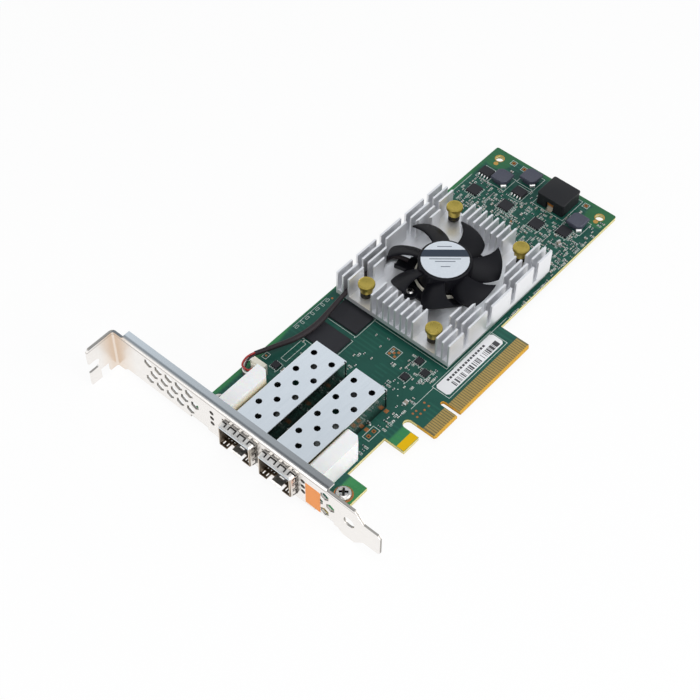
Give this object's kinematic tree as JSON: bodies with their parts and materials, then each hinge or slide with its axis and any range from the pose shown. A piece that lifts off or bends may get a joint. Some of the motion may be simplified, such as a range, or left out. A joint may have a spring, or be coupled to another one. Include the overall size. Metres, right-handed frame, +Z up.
{
  "type": "fibre channel adapter",
  "caption": "Plug-in fibre channel adapter board with transceiver cages on a slot bracket, gold edge contacts and a finned heat sink cooled by a small spinning fan.",
  "frame": {"origin": "centre of the key notch at the tip of the edge connector, on the component face", "axes": "+X along the card away from the slot bracket, +Y out of the slot, +Z up from the component face"},
  "size_m": [0.1813, 0.1205, 0.0187],
  "materials": {
    "board": "glossy solder mask",
    "gold": "gold plated",
    "bracket": "tin plated sheet",
    "screw": "nickel plated",
    "lamp": "clear lens",
    "heat_sink": "milled",
    "chip": "moulded",
    "pad": "soft",
    "pin": "turned",
    "spring": "drawn wire",
    "fan": "moulded",
    "bearing": "sintered",
    "fan_board": "laminate",
    "core": "laminated",
    "copper": "enamelled copper",
    "shaft": "ground",
    "magnet": "bonded ferrite",
    "fan_label": "printed foil",
    "sleeve": "sleeved",
    "wire": "insulated",
    "connector": "moulded",
    "ferrite": "pressed powder",
    "lead": "tin plated",
    "capacitor": "fired",
    "resistor": "glazed",
    "cage": "nickel plated sheet",
    "collar": "spring sheet",
    "socket": "moulded",
    "pipe": "moulded",
    "label": "printed",
    "port_label": "printed"
  },
  "bodies": {
    "card": {"circuit_board": "board", "edge_contacts": "gold", "slot_bracket": "bracket", "bracket_screws": "screw", "status_lamps": "lamp", "heat_sink": "heat_sink", "controller_chip": "chip", "thermal_pad": "pad", "push_pins": "pin", "pin_springs": "spring", "fan_base": "fan", "fan_bearing": "bearing", "fan_board": "fan_board", "fan_stator": "core", "fan_windings": "copper", "fan_lead": "sleeve", "fan_wires": "wire", "fan_plug": "connector", "fan_header": "connector", "power_choke": "ferrite", "choke_leads": "copper", "drum_inductors": "ferrite", "leaded_chips": "chip", "chip_leads": "lead", "flat_chips": "chip", "small_chips": "chip", "chip_capacitors": "capacitor", "chip_resistors": "resistor", "serial_label": "label", "port_label": "port_label", "memory_chip_1": "chip", "memory_chip_2": "chip", "port_cage_left": "cage", "port_cage_right": "cage", "port_collar_left": "collar", "port_collar_right": "collar", "port_socket_left": "socket", "port_socket_right": "socket", "light_pipe_left": "pipe", "light_pipe_right": "pipe"},
    "rotor": {"fan_impeller": "fan", "fan_magnet": "magnet", "fan_shaft": "shaft", "hub_label": "fan_label"}
  },
  "joints": [
    {"name": "fan_spin", "type": "hinge", "parent": "card", "child": "rotor", "pos_m": [0.0406, 0.0399, 0.01], "axis": [0, 0, 1], "continuous": true}
  ]
}
